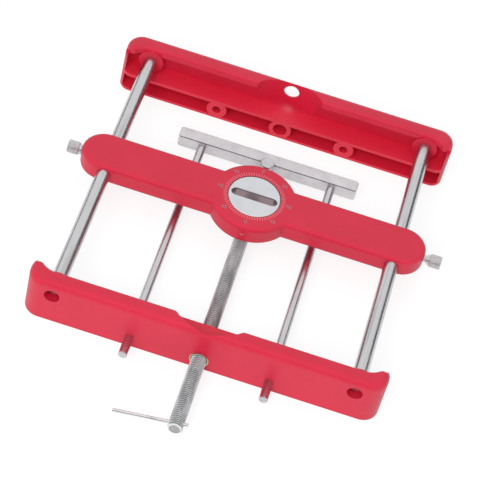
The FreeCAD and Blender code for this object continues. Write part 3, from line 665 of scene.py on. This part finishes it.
def makeTicks(size):
    maker = Maker("tickMaker", {"Tick Count": 360 // size["tickStep"], "Inner": size["inner"],
                                "Outer": size["outer"], "Width": size["width"], "Thickness": size["thick"]})
    count, inner, outer, width, thick = maker.sockets
    bar = maker.node("ShaderNodeCombineXYZ", {}, [width, outer - inner, thick])
    box = maker.node("GeometryNodeMeshCube", {}, {"Size": bar})
    away = maker.node("ShaderNodeCombineXYZ", {}, [0.0, (outer + inner) / 2, 0.0])
    tick = maker.node("GeometryNodeTransform", {}, {"Geometry": box, "Translation": away})
    spots = maker.node("GeometryNodePoints", {}, {"Count": count})
    angle = maker.node("GeometryNodeInputIndex") * (2 * math.pi) / count
    turn = maker.node("ShaderNodeCombineXYZ", {}, [0.0, 0.0, angle])
    ring = maker.node("GeometryNodeInstanceOnPoints", {}, {
        "Points": spots, "Instance": tick, "Rotation": turn})
    piece("hubScaleTicks", [maker.build(ring, tickPaint)], tickPaint, "carrier",
          scalePlace(size), size["tickCrease"])


def makeNumbers(size):
    meshes = []
    for angle in range(0, 360, size["numberStep"]):
        writing = bpy.data.curves.new("number", "FONT")
        writing.body = str(min(angle % 180, 180 - angle % 180))   # 0 towards the bars, 90 along the carrier
        writing.size = size["numberHeight"] / size["figureShare"]
        writing.align_x = writing.align_y = "CENTER"
        writing.extrude = size["thick"] / 2
        writing.offset = size["stroke"]
        made = evaluated(addToScene("number", writing))
        around = Vector((math.sin(math.radians(angle)), math.cos(math.radians(angle)), 0))
        made.transform(Matrix.Translation(around * size["numberRadius"]))
        meshes.append(made)
    piece("hubScaleNumbers", meshes, numberPaint, "carrier",
          scalePlace(size), size["numberCrease"])


makeTicks(angleScale)
makeNumbers(angleScale)


# Floor: bright to the camera and to mirror-like metal, and plain white paper to the bouncing light

paperFloor = {"side": 40, "level": -0.3 * mm, "bounce": (0.86, 0.86, 0.86, 1),
              "shade": (0.30, 0.30, 0.30, 1), "glow": 0.78}


def makeFloor(size):
    bpy.ops.mesh.primitive_plane_add(size=size["side"], location=(0, 0, size["level"]))
    floor = bpy.context.object
    floor.name = "studioFloor"
    floor.data.materials.append(whitePaper(size))


def seenDirectly(graph):
    camera, glossy, through = graph.node(
        "ShaderNodeLightPath", output=("Is Camera Ray", "Is Glossy Ray", "Is Transmission Ray"))
    return (camera + glossy + through).atMost(1.0)


def whitePaper(look):
    material = bpy.data.materials.new("whitePaper")
    material.use_nodes = True
    graph = Graph(material.node_tree)
    graph.tree.nodes.clear()
    bounce = graph.node("ShaderNodeBsdfDiffuse", {}, {"Color": look["bounce"]})
    shade = graph.node("ShaderNodeBsdfDiffuse", {}, {"Color": look["shade"]})
    glow = graph.node("ShaderNodeEmission", {}, {"Strength": look["glow"]})
    seen = graph.node("ShaderNodeAddShader", {}, [glow, shade])
    surface = graph.node("ShaderNodeMixShader", {}, [seenDirectly(graph), bounce, seen])
    graph.node("ShaderNodeOutputMaterial", {}, {"Surface": surface})
    return material


# Light: an even dome that looks white, and one soft lamp

studio = {"dome": (0.62, 0.625, 0.64, 1), "seen": (1, 1, 1, 1), "keyFrom": Vector((-0.20, -0.80, 0.76)),
          "keyAim": Vector((0, 80, 0)) * mm, "keyAway": 1.7, "keySize": 1.1, "keyPower": 13.6}


def makeLight(setting):
    world = bpy.data.worlds.new("studioDome")
    world.use_nodes = True
    bpy.context.scene.world = world
    graph = Graph(world.node_tree)
    graph.tree.nodes.clear()
    dome = graph.node("ShaderNodeBackground", {}, {"Color": setting["dome"]})
    white = graph.node("ShaderNodeBackground", {}, {"Color": setting["seen"]})
    both = graph.node("ShaderNodeMixShader", {}, [seenDirectly(graph), dome, white])
    graph.node("ShaderNodeOutputWorld", {}, {"Surface": both})
    lamp = bpy.data.lights.new("softKey", "AREA")
    lamp.shape, lamp.size, lamp.energy = "DISK", setting["keySize"], setting["keyPower"]
    key = addToScene("softKey", lamp)
    away = setting["keyFrom"].normalized()
    key.matrix_world = (Matrix.Translation(away * setting["keyAway"] + setting["keyAim"])
                        @ away.to_track_quat("Z", "Y").to_matrix().to_4x4())
    key.visible_glossy = False
    bpy.context.scene.view_settings.view_transform = "Standard"


# Dark cards that only polished metal sees: azimuth from +Y towards +X, and the heights covered

cards = {"cardRight": {"azimuth": 45, "away": 2.0, "width": 1.0, "low": 0.10, "high": 1.15},
         "cardLeft": {"azimuth": -47, "away": 2.0, "width": 1.0, "low": -0.1, "high": 0.45},
         "cardFront": {"azimuth": 180, "away": 2.2, "width": 2.6, "low": -0.1, "high": 1.35}}
cardLook = {"dark": (0.10, 0.10, 0.10, 1), "light": (0.14, 0.14, 0.14, 1), "weaveScale": 30, "gloss": 0.9}


def greyCard(look):
    paint = Paint("greyCard")
    weave = paint.noise(look["weaveScale"], detail=2.0)
    return paint.finish({"Base Color": paint.mix(weave, look["dark"], look["light"]),
                         "Roughness": look["gloss"]})


def makeCard(name, size, material):
    bpy.ops.mesh.primitive_plane_add(size=1)
    card = bpy.context.object
    card.name = name
    card.data.materials.append(material)
    away = math.radians(size["azimuth"])
    centre = Vector((math.sin(away), math.cos(away), 0)) * size["away"]
    centre.z = (size["low"] + size["high"]) / 2
    card.matrix_world = (Matrix.Translation(centre) @ Matrix.Rotation(-away, 4, "Z")
                         @ Matrix.Rotation(math.pi / 2, 4, "X")
                         @ Matrix.Diagonal((size["width"], size["high"] - size["low"], 1, 1)))
    card.visible_camera = card.visible_diffuse = card.visible_shadow = card.visible_transmission = False


# Camera: angles in degrees, with the azimuth from -Y towards +X

lens = {"azimuth": 2.984, "elevation": 48.728, "roll": 15.431, "target": Vector((0.18, 81.5, 24.5)) * mm,
        "distance": 1.4207, "focal": 162.34, "near": 0.05, "far": 60}


def makeCamera(view):
    azimuth, elevation, roll = (math.radians(view[key]) for key in ("azimuth", "elevation", "roll"))
    back = Vector((math.sin(azimuth) * math.cos(elevation), -math.cos(azimuth) * math.cos(elevation),
                   math.sin(elevation)))
    right = Vector((math.cos(azimuth), math.sin(azimuth), 0))
    up = back.cross(right)
    acrossView = math.cos(roll) * right + math.sin(roll) * up
    upView = math.cos(roll) * up - math.sin(roll) * right
    turn = Matrix((acrossView, upView, back)).transposed().to_4x4()
    data = bpy.data.cameras.new("viewCamera")
    data.lens, data.clip_start, data.clip_end = view["focal"], view["near"], view["far"]
    camera = addToScene("viewCamera", data)
    camera.matrix_world = Matrix.Translation(view["target"] + back * view["distance"]) @ turn
    bpy.context.scene.camera = camera


makeFloor(paperFloor)
makeLight(studio)
cardGrey = greyCard(cardLook)
for name, size in cards.items():
    makeCard(name, size, cardGrey)
makeCamera(lens)
print("floor, light and camera set")
